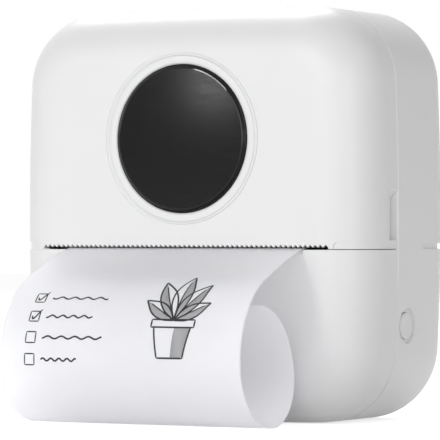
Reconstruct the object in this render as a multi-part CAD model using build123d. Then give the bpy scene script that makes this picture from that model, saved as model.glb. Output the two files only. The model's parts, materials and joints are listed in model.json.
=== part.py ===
from build123d import *
import os
from math import acos, atan2, cos, degrees, hypot, radians, sin, sqrt, tan

# Pocket thermal printer, a rounded white box that prints on 57 mm paper.
# X is to the viewer's right, Y goes back, Z is up. The floor is Z = 0, and the
# body is centred on X = 0 and Y = 0. All sizes are in millimetres.

# Body
BODY_WIDTH = 86.2
BODY_HEIGHT = 87.6
BODY_DEPTH = 42.8
CORNER_RADIUS = 16.0
SIDE_CURVE = 650.0
TOP_CURVE = 1100.0
FOOT_FLAT = 0.25
FRONT_ROUND = 11.7
REAR_ROUND = 9.0
WALL = 1.8
SEAM_DEPTH = 15.55
SEAM_CHAMFER = 0.35
SEAM_GAP = 0.12
SPLIT_HEIGHT = 36.35
SPLIT_GAP = 0.15
RIM_LIP = 1.0
RIM_LIP_DEPTH = 2.2
GROOVE_HEIGHT = 1.2
GROOVE_DEPTH = 0.7
GROOVE_START = 11.8

# Fits
RUNNING = 0.05
LOOSE = 0.15

# Paper
SIDE_BAY = 14.6
PAPER_SHEET = 0.2
TUB_ROOM = 0.6
TUB_WALL = 1.4
TUB_TOP_GAP = 6.2
TUB_LOW_GAP = 0.06
ROLL_BACK = 19.7
ROLL_FRONT_GAP = 1.9
CORE_RADIUS = 6.2
CORE_WALL = 1.3
EXIT_ANGLE = 16.0
EXIT_DEPTH = 0.8
EXIT_RISE = 0.2

# Print mechanism
PLATEN_RADIUS = 4.0
PLATEN_OVER = 0.5
PLATEN_DEPTH = 9.7
SHAFT_RADIUS = 1.5
BUSH_RADIUS = 3.0
FRAME_GAP = 0.6
FRAME_SHEET = 1.4
CARRIER_ARM = 1.3
GEAR_MODULE = 0.4
GEAR_WIDTH = 2.4
GEAR_BACKLASH = 0.12
PLATEN_TEETH = 24
IDLER_TEETH = 22
SMALL_TEETH = 14
LARGE_TEETH = 40
PINION_TEETH = 12
POST_RADIUS = 1.0
MOTOR_RADIUS = 7.5
MOTOR_LENGTH = 11.5
MOTOR_SHAFT = 0.75
HEAD_OVER = 1.0
HEAD_SHEET = 1.0
HEAT_SINK = 2.4
FLEX_WIDTH = 16.0
FLEX_EDGE = 9.5
PIVOT_RADIUS = 1.0
PIVOT_REACH = 9.5

# Cover
HINGE_RADIUS = 2.2
HINGE_BUMP = 0.4
HINGE_HALF = 16.1
KNUCKLE_HALF = 7.8
PIN_RADIUS = 0.8
DISC_RADIUS = 15.7
DISC_DROP = 2.28
DISC_THICK = 1.8
DISC_CROWN = 0.4
DISC_RECESS = 1.2
DISC_EDGE = 0.8
RING_RADIUS = 18.35
RING_WIDTH = 0.5
RING_DEPTH = 0.18
TOOTH_PITCH = 1.15
TOOTH_OVER = 6.0
TOOTH_TIP = 0.5
TOOTH_HEIGHT = 0.6
TOOTH_THICK = 0.9
LEDGE_HEIGHT = 1.6
LEDGE_DEPTH = 0.3
LEDGE_GAP = 0.9
LEDGE_CORNER = 0.9
NOTCH_LOW = 2.0
NOTCH_HIGH = 10.7
NOTCH_SCOOP = 1.9
NOTCH_DEPTH = 1.95
NOTCH_LENGTH = 4.2
NOTCH_WALL = 1.3

# Controls and electronics
BUTTON_RADIUS = 2.75
BUTTON_DISH = 3.8
BUTTON_FLANGE = 0.9
DISH_DEPTH = 0.7
BUTTON_BACK = 5.1
BUTTON_HEIGHT = 20.35
BUTTON_TRAVEL = 0.4
BUTTON_STEM = 1.2
PLUNGER_OUT = 1.0
PLUNGER_IN = 0.6
USB_HEIGHT = 20.2
USB_BACK = 10.0
USB_WIDE = 9.0
USB_THIN = 3.3
USB_LONG = 7.3
BOARD_SHEET = 1.2
BOARD_LEFT_GAP = 4.2
BOARD_RIGHT_GAP = 6.45
BOARD_LOW = 3.6
BOARD_HIGH = 27.5
BATTERY_WIDTH = 50.0
BATTERY_HEIGHT = 34.0
BATTERY_THICK = 8.0
BATTERY_GAP = 0.5
BATTERY_SIDE = 3.7
BATTERY_UNDER = 7.4
SCREW_RADIUS = 1.0
SCREW_HEAD = 1.9
BOSS_RADIUS = 2.5

# Places worked out from the sizes above
FRONT = -BODY_DEPTH / 2
REAR = BODY_DEPTH / 2
SEAM = FRONT + SEAM_DEPTH
ROLL_Y = FRONT + ROLL_BACK
HINGE_Y = SEAM + HINGE_RADIUS - HINGE_BUMP + RUNNING
HINGE_Z = BODY_HEIGHT + HINGE_BUMP - HINGE_RADIUS
BUTTON_Y = SEAM + BUTTON_BACK
USB_Y = REAR - USB_BACK
PAPER_WIDTH = BODY_WIDTH - 2 * SIDE_BAY
PLATEN_LENGTH = PAPER_WIDTH + 2 * PLATEN_OVER
HEAD_WIDTH = PAPER_WIDTH + 2 * HEAD_OVER
PLATE_IN = PLATEN_LENGTH / 2 + 0.2 + CARRIER_ARM + 0.2
PLATE_OUT = PLATE_IN + FRAME_SHEET
GEAR_IN = PLATE_OUT + FRAME_GAP * 2
GEAR_OUT = GEAR_IN + GEAR_WIDTH
BIG_IN = GEAR_OUT + FRAME_GAP
BIG_OUT = BIG_IN + GEAR_WIDTH * 0.75
PAPER_EXIT = (FRONT + EXIT_DEPTH, SPLIT_HEIGHT + EXIT_RISE)
UP_PATH = (cos(radians(EXIT_ANGLE)), sin(radians(EXIT_ANGLE)))
TO_PLATEN = (-UP_PATH[1], UP_PATH[0])
NIP_Y = FRONT + PLATEN_DEPTH
NIP = (NIP_Y, PAPER_EXIT[1] + (NIP_Y - PAPER_EXIT[0]) * tan(radians(EXIT_ANGLE)))
NIP_GAP = PLATEN_RADIUS + RUNNING + PAPER_SHEET / 2
PLATEN = (NIP[0] + TO_PLATEN[0] * NIP_GAP, NIP[1] + TO_PLATEN[1] * NIP_GAP)
TUB_TOP = BODY_HEIGHT - TUB_TOP_GAP
TUB_LOW = PLATEN[1] + PLATEN_RADIUS + TUB_LOW_GAP
ROLL_HEIGHT = (TUB_TOP + TUB_LOW) / 2
ROLL_SEAT = TUB_WALL + TUB_ROOM
# The largest roll that the body takes: up and down, behind and in front
ROLL_RADIUS = min((TUB_TOP - TUB_LOW) / 2 - ROLL_SEAT, REAR - WALL - LOOSE - ROLL_Y - ROLL_SEAT,
                  ROLL_BACK - WALL - ROLL_FRONT_GAP)
TUB_OUTER = ROLL_RADIUS + ROLL_SEAT
TUB_IN = PAPER_WIDTH / 2 + 0.5
TUB_OUT = TUB_IN + TUB_WALL
DISC_HEIGHT = (SPLIT_HEIGHT + BODY_HEIGHT) / 2 - DISC_DROP
TOOTH_COUNT = round((PAPER_WIDTH + 2 * TOOTH_OVER) / TOOTH_PITCH)
TOOTH_END = TOOTH_COUNT * TOOTH_PITCH / 2
SIDE_CUT = BODY_WIDTH / 2 - 13.1


def block(x0, x1, y0, y1, z0, z1):
    """A box between two corners."""
    centre = ((x0 + x1) / 2, (y0 + y1) / 2, (z0 + z1) / 2)
    return Pos(*centre) * Box(abs(x1 - x0), abs(y1 - y0), abs(z1 - z0))


def rod_x(radius, x0, x1, y, z):
    """A round bar along X."""
    return Pos((x0 + x1) / 2, y, z) * Rot(0, 90, 0) * Cylinder(radius, abs(x1 - x0))


def rod_y(radius, y0, y1, x, z):
    """A round bar along Y."""
    return Pos(x, (y0 + y1) / 2, z) * Rot(90, 0, 0) * Cylinder(radius, abs(y1 - y0))


def side_plate(points, x0, x1):
    """A flat plate square to X, cut to an outline of (Y, Z) points."""
    face = make_face(Polyline(*points, close=True))
    return Pos(x0, 0, 0) * extrude(Plane.YZ * face, x1 - x0)


def outline(inset):
    """The body's rounded-square outline in X and Z, drawn in by an inset."""
    half_x = BODY_WIDTH / 2 - inset
    half_z = (BODY_HEIGHT + FOOT_FLAT) / 2 - inset
    corner_x = half_x - half_z ** 2 / (2 * SIDE_CURVE)
    corner_z = half_z - half_x ** 2 / (2 * TOP_CURVE)
    top = ThreePointArc((-corner_x, corner_z), (0, half_z), (corner_x, corner_z))
    right = ThreePointArc((corner_x, corner_z), (half_x, 0), (corner_x, -corner_z))
    bottom = ThreePointArc((corner_x, -corner_z), (0, -half_z), (-corner_x, -corner_z))
    left = ThreePointArc((-corner_x, -corner_z), (-half_x, 0), (-corner_x, corner_z))
    face = make_face([top, right, bottom, left])
    return fillet(face.vertices(), CORNER_RADIUS - inset)


def slab(inset, y0, y1):
    """The outline made solid from y0 back to y1."""
    middle = (BODY_HEIGHT - FOOT_FLAT) / 2
    plane = Plane(origin=(0, y1, middle), x_dir=(1, 0, 0), z_dir=(0, -1, 0))
    return extrude(plane * outline(inset), y1 - y0)


def stand(form):
    """Cuts the curved underside flat where the printer stands."""
    return form - block(-REACH, REACH, -REACH, REACH, -REACH, 0)


def front_form(inset):
    """The solid form in front of the seam, with its large front rounding."""
    form = slab(inset, FRONT + inset, SEAM - SEAM_GAP)
    front_edges = form.faces().sort_by(Axis.Y)[0].edges()
    form = fillet(front_edges, FRONT_ROUND - inset)
    if inset == 0:
        form = stand(chamfer(form.faces().sort_by(Axis.Y)[-1].edges(), SEAM_CHAMFER))
    return form


def rear_form(inset):
    """The solid form behind the seam, with its rear rounding."""
    form = slab(inset, SEAM, REAR - inset)
    form = fillet(form.faces().sort_by(Axis.Y)[-1].edges(), REAR_ROUND - inset)
    if inset == 0:
        form = stand(chamfer(form.faces().sort_by(Axis.Y)[0].edges(), SEAM_CHAMFER))
    return form


REACH = BODY_WIDTH
FRONT_OUTER = front_form(0)
FRONT_INNER = front_form(WALL)
REAR_OUTER = rear_form(0)
REAR_INNER = rear_form(WALL)


def gear(teeth, width, bore, phase):
    """A spur gear on X with straight-sided teeth, one of them at the phase angle."""
    pitch_radius = GEAR_MODULE * teeth / 2
    tip, root = pitch_radius + GEAR_MODULE, pitch_radius - 1.25 * GEAR_MODULE
    step = 360 / teeth
    slack = degrees(GEAR_BACKLASH / 2 / pitch_radius)
    points = []
    for tooth in range(teeth):
        middle = phase + tooth * step
        for radius, share in ((root, -0.36), (tip, -0.13), (tip, 0.13), (root, 0.36)):
            angle = radians(middle + share * step - (slack if share > 0 else -slack))
            points.append((radius * cos(angle), radius * sin(angle)))
    face = make_face(Polyline(*points, close=True)) - Circle(bore)
    return extrude(Plane.YZ * face, width)


def mesh_phase(phase, teeth, direction, next_teeth):
    """The phase at which the next gear meets this one along a direction."""
    step = 360 / teeth
    lead = (phase - direction + step / 2) % step - step / 2
    return direction + 180 - lead * teeth / next_teeth + 180 / next_teeth


def mesh_centre(centre, teeth, direction, next_teeth):
    """The axis of a gear that meshes with one on the given axis."""
    reach = GEAR_MODULE * (teeth + next_teeth) / 2 + RUNNING
    return (centre[0] + reach * cos(radians(direction)), centre[1] + reach * sin(radians(direction)))


# The gear train, from the platen gear back to the motor
TO_IDLER, TO_REDUCTION, TO_MOTOR = -38.0, -74.0, -78.0
IDLER = mesh_centre(PLATEN, PLATEN_TEETH, TO_IDLER, IDLER_TEETH)
REDUCTION = mesh_centre(IDLER, IDLER_TEETH, TO_REDUCTION, SMALL_TEETH)
MOTOR = mesh_centre(REDUCTION, LARGE_TEETH, TO_MOTOR, PINION_TEETH)
PLATEN_PHASE = TO_IDLER
IDLER_PHASE = mesh_phase(PLATEN_PHASE, PLATEN_TEETH, TO_IDLER, IDLER_TEETH)
SMALL_PHASE = mesh_phase(IDLER_PHASE, IDLER_TEETH, TO_REDUCTION, SMALL_TEETH)
LARGE_PHASE = TO_MOTOR
PINION_PHASE = mesh_phase(LARGE_PHASE, LARGE_TEETH, TO_MOTOR, PINION_TEETH)

# Screw places, as (X, Z)
FLANGE_Y = SEAM + 1.0
FLANGE_SHEET = 1.4
FLANGE_LOW = PLATEN[1] + BUSH_RADIUS + 3.9
FLANGE_TOP = HINGE_Z - HINGE_RADIUS - 0.6
TUB_SCREW_X = TUB_OUT + 2 * BOSS_RADIUS
CASE_SCREW_X = BODY_WIDTH / 2 - 6.95
CASE_SCREW_Z = 10.5
EAR_SCREW_X = PLATE_OUT + 3.6
EAR_SCREW_Z = SPLIT_HEIGHT - 4.7
TUB_SCREWS = [(side * TUB_SCREW_X, z) for side in (-1, 1) for z in (FLANGE_LOW + 1.66, FLANGE_TOP - 6.1)]
CASE_SCREWS = [(side * CASE_SCREW_X, CASE_SCREW_Z) for side in (-1, 1)]
EAR_SCREWS = [(side * EAR_SCREW_X, EAR_SCREW_Z) for side in (-1, 1)]
EAR_SCREW_LENGTH = 6.5
EAR_Y = REAR - WALL - BATTERY_GAP - BATTERY_THICK - 1.2 - FRAME_SHEET


def screw_y(x, z, head_y, length, direction):
    """A cross-head screw along Y, with its head at head_y."""
    head = rod_y(SCREW_HEAD, head_y, head_y - direction * 1.2, x, z)
    shank = rod_y(SCREW_RADIUS, head_y, head_y + direction * length, x, z)
    for turn in (0, 90):
        slot = Pos(x, head_y - direction * 0.95, z) * Rot(0, turn, 0) * Box(2.2, 0.6, 0.45)
        head -= slot
    return head + shank


def rear_shell():
    shell = REAR_OUTER - REAR_INNER
    ledge = block(-REACH, REACH, SEAM + GROOVE_START, REAR + 1, SPLIT_HEIGHT + 0.1,
                  SPLIT_HEIGHT + 0.1 + GROOVE_HEIGHT)
    shell -= ledge & (REAR_OUTER - rear_form(GROOVE_DEPTH))
    for x, z in TUB_SCREWS:
        shell += rod_y(BOSS_RADIUS, FLANGE_Y + FLANGE_SHEET, REAR, x, z) & REAR_OUTER
        shell -= rod_y(SCREW_RADIUS, FLANGE_Y, FLANGE_Y + 9, x, z)
    for x, z in EAR_SCREWS:
        shell += rod_y(BOSS_RADIUS, EAR_Y + FRAME_SHEET, REAR, x, z) & REAR_OUTER
        shell -= rod_y(SCREW_RADIUS, EAR_Y, EAR_Y + 8, x, z)
    for x, z in CASE_SCREWS:
        shell += rod_y(BOSS_RADIUS + 0.6, SEAM + 6, REAR, x, z) & REAR_OUTER
        shell -= rod_y(SCREW_HEAD + LOOSE, SEAM + 8, REAR + 1, x, z)
        shell -= rod_y(SCREW_RADIUS + LOOSE, SEAM, SEAM + 9, x, z)
    shell = add_hinge_seat(shell)
    for side in (-1, 1):
        rim = block(side * (BODY_WIDTH / 2 - NOTCH_DEPTH - 0.4), side * REACH, SEAM, SEAM + 3,
                    SPLIT_HEIGHT + 0.4, SPLIT_HEIGHT + NOTCH_HIGH + 2.4)
        shell += rim & REAR_OUTER
    shell -= rod_x(BUTTON_RADIUS + LOOSE, SIDE_CUT, REACH, BUTTON_Y, BUTTON_HEIGHT)
    shell -= rod_x(BUTTON_DISH, wall_x(BUTTON_HEIGHT) - DISH_DEPTH, REACH, BUTTON_Y, BUTTON_HEIGHT)
    shell -= usb_slot(0.35, -REACH, -SIDE_CUT)
    post = wall_x(USB_HEIGHT) - 7
    ribs = [block(-post - 1, 1 - post, USB_Y + BOARD_SHEET + USB_THIN / 2, REAR, 0, USB_HEIGHT + 5)]
    for x in (BOARD_LEFT + 3, BOARD_RIGHT - 8):
        guide = block(x - 1.5, x + 1.5, SEAM + 5, SEAM + 12, 0, BOARD_LOW + 2.5)
        ribs.append(guide - board_blank(0.05))
    for x in (BATTERY_LEFT + 9, BATTERY_LEFT + BATTERY_WIDTH - 9):
        ribs.append(block(x - 1, x + 1, REAR - WALL - 9, REAR, 0, BATTERY_LOW))
    for rib in ribs:
        shell += rib & REAR_OUTER
    return shell + rim_lip()


def wall_x(height):
    """How far out the side wall's face is, at a height on its curve."""
    middle = (BODY_HEIGHT - FOOT_FLAT) / 2
    return BODY_WIDTH / 2 - (height - middle) ** 2 / (2 * SIDE_CURVE)


def rim_lip():
    """The locating lip inside the seam, along the lower front shell only."""
    depth = WALL + RUNNING
    ring = slab(depth, SEAM - RIM_LIP_DEPTH, SEAM + 2) - slab(depth + RIM_LIP, SEAM - 5, SEAM + 5)
    ring &= block(-REACH, REACH, SEAM - 9, SEAM + 9, 0, SPLIT_HEIGHT - 6)
    root = slab(WALL / 2, SEAM + 0.6, SEAM + 2) - slab(depth + RIM_LIP, SEAM - 5, SEAM + 5)
    ring += root & block(-REACH, REACH, SEAM, SEAM + 9, 0, SPLIT_HEIGHT - 6)
    for x, z in CASE_SCREWS:
        ring -= rod_y(BOSS_RADIUS + LOOSE, FRONT, SEAM + 6, x, z)
    room = BUTTON_RADIUS + BUTTON_FLANGE + LOOSE
    return ring - rod_x(room, 0, wall_x(BUTTON_HEIGHT) - WALL, BUTTON_Y, BUTTON_HEIGHT)


def add_hinge_seat(shell):
    """Cuts the room for the cover's knuckles and adds the middle knuckle."""
    room = HINGE_RADIUS + 2 * LOOSE
    half = HINGE_HALF + LOOSE
    top = HINGE_Z + HINGE_RADIUS + 1
    shell -= block(-half, half, SEAM - 1, HINGE_Y + room, HINGE_Z, top)
    shell -= rod_x(room, -half, half, HINGE_Y, HINGE_Z)
    knuckle = rod_x(HINGE_RADIUS, -KNUCKLE_HALF, KNUCKLE_HALF, HINGE_Y, HINGE_Z)
    web = block(-KNUCKLE_HALF, KNUCKLE_HALF, HINGE_Y, HINGE_Y + room + 1,
                HINGE_Z - HINGE_RADIUS, BODY_HEIGHT - 0.3)
    return shell + knuckle + web - rod_x(PIN_RADIUS, -half, half, HINGE_Y, HINGE_Z)


def lower_front_shell():
    keep = block(-REACH, REACH, FRONT - 1, SEAM, -1, SPLIT_HEIGHT)
    shell = (FRONT_OUTER - FRONT_INNER) & keep
    lip = make_face(Polyline((FRONT - 1, SPLIT_HEIGHT - 0.9), (FRONT + 0.1, SPLIT_HEIGHT - 0.9),
                             (FRONT + 0.9, SPLIT_HEIGHT), (FRONT + 0.9, SPLIT_HEIGHT + 1),
                             (FRONT - 1, SPLIT_HEIGHT + 1), close=True))
    reach = PAPER_WIDTH / 2 + 0.4
    shell -= Pos(-reach, 0, 0) * extrude(Plane.YZ * lip, 2 * reach)
    for x, z in CASE_SCREWS:
        shell += rod_y(BOSS_RADIUS, FRONT, SEAM + 6 - LOOSE, x, z) & \
            (FRONT_OUTER + block(-REACH, REACH, SEAM - 1, SEAM + 6 - LOOSE, 0, SPLIT_HEIGHT))
        shell -= rod_y(SCREW_RADIUS, SEAM - 6, SEAM + 7, x, z)
    for side in (-1, 1):
        rib = block(side * 12, side * 13.2, FRONT, FRONT + WALL + 3, WALL / 2, SPLIT_HEIGHT - 3)
        shell += rib & FRONT_OUTER
    return shell


def notch_block(side, grow):
    """The room of the finger notch on one side: a ramp to the seam, with a scooped top."""
    outer = BODY_WIDTH / 2
    inner = outer - NOTCH_DEPTH - grow
    low, high = SPLIT_HEIGHT + NOTCH_LOW - grow, SPLIT_HEIGHT + NOTCH_HIGH + grow
    front = SEAM - NOTCH_LENGTH - grow
    rise = NOTCH_SCOOP / NOTCH_DEPTH
    upright = make_face(Polyline((inner, low), (inner, high), (outer + 1, high + (outer + 1 - inner) * rise),
                                 (outer + 1, low), close=True))
    plan = make_face(Polyline((inner, SEAM), (outer - grow, front), (outer + 1, front), (outer + 1, SEAM),
                              close=True))
    room = Pos(0, SEAM, 0) * extrude(Plane.XZ * upright, NOTCH_LENGTH + grow)
    room &= Pos(0, 0, low) * extrude(plan, high + REACH)
    return room if side > 0 else mirror(room, Plane.YZ)


def tear_teeth():
    """The comb that cuts the serrated tear edge out of the cover's lower edge."""
    tip_z = SPLIT_HEIGHT + TOOTH_TIP
    points = [(-TOOTH_END, SPLIT_HEIGHT - 1), (-TOOTH_END, tip_z)]
    for tooth in range(TOOTH_COUNT):
        left = tooth * TOOTH_PITCH - TOOTH_END
        points.append((left + TOOTH_PITCH / 2, tip_z + TOOTH_HEIGHT))
        points.append((left + TOOTH_PITCH, tip_z))
    points.append((TOOTH_END, SPLIT_HEIGHT - 1))
    comb = extrude(Plane.XZ * make_face(Polyline(*points, close=True)), BODY_DEPTH)
    relief = block(-TOOTH_END, TOOTH_END, FRONT + TOOTH_THICK, SEAM - 6, SPLIT_HEIGHT - 1,
                   tip_z + TOOTH_HEIGHT + 0.4)
    return comb + relief


def ledge_block(side):
    """The low panel beside the teeth, rounded at its inner top corner."""
    ledge = block(side * (TOOTH_END + LEDGE_GAP), side * REACH, FRONT - 1, SEAM, SPLIT_HEIGHT,
                  SPLIT_HEIGHT + LEDGE_HEIGHT)
    corner = ledge.edges().filter_by(Axis.Y).sort_by(lambda edge: abs(edge.center().X) - edge.center().Z)[0]
    return fillet(corner, LEDGE_CORNER)


def cover_shell():
    low = SPLIT_HEIGHT + SPLIT_GAP
    keep = block(-REACH, REACH, FRONT - 1, SEAM, low, BODY_HEIGHT + 9)
    shell = (FRONT_OUTER - FRONT_INNER) & keep
    for side in (-1, 1):
        shell += notch_block(side, NOTCH_WALL) & FRONT_OUTER & keep
        shell -= notch_block(side, 0)
        shell -= (ledge_block(side) & FRONT_OUTER) - front_form(LEDGE_DEPTH)
    shell -= tear_teeth()
    shell -= rod_y(DISC_RADIUS + RUNNING, FRONT - 1, FRONT + DISC_RECESS, 0, DISC_HEIGHT)
    shell += rod_y(DISC_RADIUS + 1.5, FRONT + DISC_RECESS, FRONT + WALL + 0.9, 0, DISC_HEIGHT)
    ring = rod_y(RING_RADIUS + RING_WIDTH / 2, FRONT - 1, FRONT + RING_DEPTH, 0, DISC_HEIGHT)
    ring -= rod_y(RING_RADIUS - RING_WIDTH / 2, FRONT - 2, FRONT + 1, 0, DISC_HEIGHT)
    shell -= ring
    for x, z in CARRIER_SCREWS:
        shell += rod_y(BOSS_RADIUS, FRONT + WALL / 2, CARRIER_Y, x, z)
        shell -= rod_y(SCREW_RADIUS, FRONT + WALL, CARRIER_Y + 1, x, z)
    return add_cover_knuckles(shell)


def add_cover_knuckles(shell):
    """The two outer knuckles of the hinge and the webs that carry them."""
    clear = KNUCKLE_HALF + LOOSE
    rear_edge = hypot(HINGE_Y - SEAM, BODY_HEIGHT - SEAM_CHAMFER - HINGE_Z)
    shell -= rod_x(rear_edge + 2 * RUNNING, -REACH, REACH, HINGE_Y, HINGE_Z)
    for side in (-1, 1):
        knuckle = rod_x(HINGE_RADIUS, side * clear, side * HINGE_HALF, HINGE_Y, HINGE_Z)
        web = block(side * clear, side * HINGE_HALF, SEAM - 3, HINGE_Y,
                    HINGE_Z, BODY_HEIGHT - 0.05)
        shell += knuckle + web
    return shell - rod_x(PIN_RADIUS + RUNNING, -HINGE_HALF - 1, HINGE_HALF + 1, HINGE_Y, HINGE_Z)


def hinge_pin():
    return rod_x(PIN_RADIUS, -HINGE_HALF + 0.3, HINGE_HALF - 0.3, HINGE_Y, HINGE_Z)


def front_disc():
    """A glossy cap with a slightly crowned face and a rounded edge."""
    back = FRONT + DISC_RECESS - 0.2
    disc = rod_y(DISC_RADIUS, back - DISC_THICK, back, 0, DISC_HEIGHT)
    disc = fillet(disc.faces().sort_by(Axis.Y)[0].edges(), DISC_EDGE)
    ball_radius = DISC_RADIUS ** 2 / (2 * DISC_CROWN)
    return disc & (Pos(0, back - DISC_THICK + ball_radius, DISC_HEIGHT) * Sphere(ball_radius))


def disc_tape():
    back = FRONT + DISC_RECESS
    ring = rod_y(DISC_RADIUS - 1.5, back - 0.2, back, 0, DISC_HEIGHT)
    return ring - rod_y(DISC_RADIUS - 5.5, back - 1, back + 1, 0, DISC_HEIGHT)


CARRIER_Y = FRONT + WALL + 1.4
CARRIER_SHEET = 1.4
CARRIER_SCREW_X = PLATEN_LENGTH / 2 - 7
CARRIER_SCREWS = [(side * CARRIER_SCREW_X, PLATEN[1] + 7.5) for side in (-1, 1)]
ARM_IN = PLATEN_LENGTH / 2 + 0.2
ARM_OUT = ARM_IN + CARRIER_ARM


def platen_carrier():
    """The moulded bar inside the cover that holds the platen by two arms."""
    low, high = PLATEN[1] - 1.5, PLATEN[1] + 10
    bar = block(-ARM_OUT, ARM_OUT, CARRIER_Y, CARRIER_Y + CARRIER_SHEET, PLATEN[1] + 4.6, high)
    back, front = PLATEN[0] + BUSH_RADIUS + 1.2, CARRIER_Y
    for side in (-1, 1):
        arm = side_plate([(front, low), (PLATEN[0], PLATEN[1] - BUSH_RADIUS - 1), (back, PLATEN[1] - 1.5),
                          (back, PLATEN[1] + 2), (PLATEN[0] - 0.5, PLATEN[1] + 5.2), (front, high)],
                         min(side * ARM_IN, side * ARM_OUT), max(side * ARM_IN, side * ARM_OUT))
        bar += arm - rod_x(BUSH_RADIUS, -REACH, REACH, *PLATEN)
    rib_step = (CARRIER_SCREW_X - SCREW_HEAD - 1.1) / 2
    for rib in range(-2, 3):
        x = rib * rib_step
        bar += block(x - 0.5, x + 0.5, CARRIER_Y, CARRIER_Y + 2.6, PLATEN[1] + 5, high - 1)
    for x, z in CARRIER_SCREWS:
        bar -= rod_y(SCREW_RADIUS + LOOSE, CARRIER_Y - 1, CARRIER_Y + 5, x, z)
    return bar


def platen_shaft():
    shaft = rod_x(SHAFT_RADIUS, -GEAR_OUT - 0.8, PLATE_OUT + 1.2, *PLATEN)
    clip = rod_x(SHAFT_RADIUS + 0.8, PLATE_OUT + 0.4, PLATE_OUT + 0.8, *PLATEN)
    return shaft + clip


def platen_roller():
    sleeve = rod_x(PLATEN_RADIUS, -PLATEN_LENGTH / 2, PLATEN_LENGTH / 2, *PLATEN)
    sleeve = chamfer(sleeve.edges().filter_by(GeomType.CIRCLE), 0.25)
    return sleeve - rod_x(SHAFT_RADIUS, -REACH, REACH, *PLATEN)


def platen_bushes():
    """Two plain bearings that sit in the arms and drop into the frame's slots."""
    group = []
    for side in (-1, 1):
        bush = rod_x(BUSH_RADIUS, side * ARM_IN, side * PLATE_OUT, *PLATEN)
        group.append(bush - rod_x(SHAFT_RADIUS + RUNNING, -REACH, REACH, *PLATEN))
    return Compound(children=group)


def place_gear(body, x, centre):
    return Pos(x, *centre) * body


def platen_gear():
    wheel = place_gear(gear(PLATEN_TEETH, GEAR_WIDTH, SHAFT_RADIUS, PLATEN_PHASE), -GEAR_OUT, PLATEN)
    hub = rod_x(SHAFT_RADIUS + 1.0, -GEAR_IN, -PLATE_OUT - 0.3, *PLATEN)
    return wheel + (hub - rod_x(SHAFT_RADIUS, -REACH, 0, *PLATEN))


def idler_gear():
    wheel = gear(IDLER_TEETH, GEAR_WIDTH, POST_RADIUS + RUNNING, IDLER_PHASE)
    return place_gear(wheel, -GEAR_OUT, IDLER)


def reduction_gear():
    """A double gear: the small one drives the idler, the large one takes the pinion."""
    bore = POST_RADIUS + RUNNING
    small = place_gear(gear(SMALL_TEETH, GEAR_WIDTH + FRAME_GAP, bore, SMALL_PHASE), -BIG_IN, REDUCTION)
    large = gear(LARGE_TEETH, BIG_OUT - BIG_IN, bore, LARGE_PHASE)
    for hole in range(5):
        angle = radians(hole * 72)
        large -= Pos(0, 4.6 * cos(angle), 4.6 * sin(angle)) * Rot(0, 90, 0) * Cylinder(1.2, 9)
    return small + place_gear(large, -BIG_OUT, REDUCTION)


def gear_posts():
    """Riveted steel posts with the washers that keep the gears on."""
    idler = rod_x(POST_RADIUS, -GEAR_OUT - 0.5, -PLATE_IN, *IDLER)
    idler += rod_x(POST_RADIUS + 0.6, -GEAR_OUT - 0.45, -GEAR_OUT - 0.1, *IDLER)
    idler += rod_x(POST_RADIUS + 0.6, -GEAR_IN + 0.1, -PLATE_OUT, *IDLER)
    double = rod_x(POST_RADIUS, -BIG_OUT - 0.7, -PLATE_IN, *REDUCTION)
    double += rod_x(POST_RADIUS + 0.8, -BIG_OUT - 0.6, -BIG_OUT - 0.1, *REDUCTION)
    double += rod_x(POST_RADIUS + 0.6, -GEAR_IN + 0.1, -PLATE_OUT, *REDUCTION)
    return Compound(children=[idler, double])


def motor_pinion():
    shaft = rod_x(MOTOR_SHAFT, -BIG_OUT - 0.4, -PLATE_IN + 1.5, *MOTOR)
    wheel = gear(PINION_TEETH, BIG_OUT - BIG_IN + 0.6, MOTOR_SHAFT, PINION_PHASE)
    return shaft + place_gear(wheel, -BIG_OUT - 0.3, MOTOR)


EAR_RADIUS = 2.6
MOTOR_EARS = [MOTOR[0] + side * (MOTOR_RADIUS + 2.1) for side in (-1, 1)]


def drive_motor():
    """A can stepper motor with its flange against the frame."""
    face = -PLATE_IN
    can = rod_x(MOTOR_RADIUS, face + 0.8, face + MOTOR_LENGTH, *MOTOR)
    can = fillet(can.faces().sort_by(Axis.X)[-1].edges(), 0.6)
    flange = rod_x(MOTOR_RADIUS, face, face + 0.8, *MOTOR)
    for y in MOTOR_EARS:
        flange += rod_x(EAR_RADIUS, face, face + 0.8, y, MOTOR[1])
        flange += block(face, face + 0.8, MOTOR[0], y, MOTOR[1] - EAR_RADIUS, MOTOR[1] + EAR_RADIUS)
        flange -= rod_x(SCREW_RADIUS + LOOSE, -REACH, 0, y, MOTOR[1])
    boss = rod_x(3.0, face - FRAME_SHEET, face, *MOTOR)
    body = can + flange + boss
    return body - rod_x(MOTOR_SHAFT + RUNNING, -REACH, face + 2, *MOTOR)


def motor_screws():
    group = []
    for y in MOTOR_EARS:
        shank = rod_x(SCREW_RADIUS, -PLATE_OUT, -PLATE_IN + 2, y, MOTOR[1])
        group.append(shank + rod_x(SCREW_HEAD, -PLATE_OUT - 1, -PLATE_OUT, y, MOTOR[1]))
    return Compound(children=group)


def along(s, n):
    """A (Y, Z) point, s up the paper path from the nip and n towards the platen."""
    return (NIP[0] + s * UP_PATH[0] + n * TO_PLATEN[0], NIP[1] + s * UP_PATH[1] + n * TO_PLATEN[1])


HEAD_TOP = -PAPER_SHEET / 2 - RUNNING
PIVOT = along(PIVOT_REACH, HEAD_TOP - HEAD_SHEET - HEAT_SINK - 0.4)
SPRING_X = 18.0
SPRING_SEAT = 5.0


def head_slab(s0, s1, n0, n1, half):
    return side_plate([along(s0, n0), along(s1, n0), along(s1, n1), along(s0, n1)], -half, half)


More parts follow.
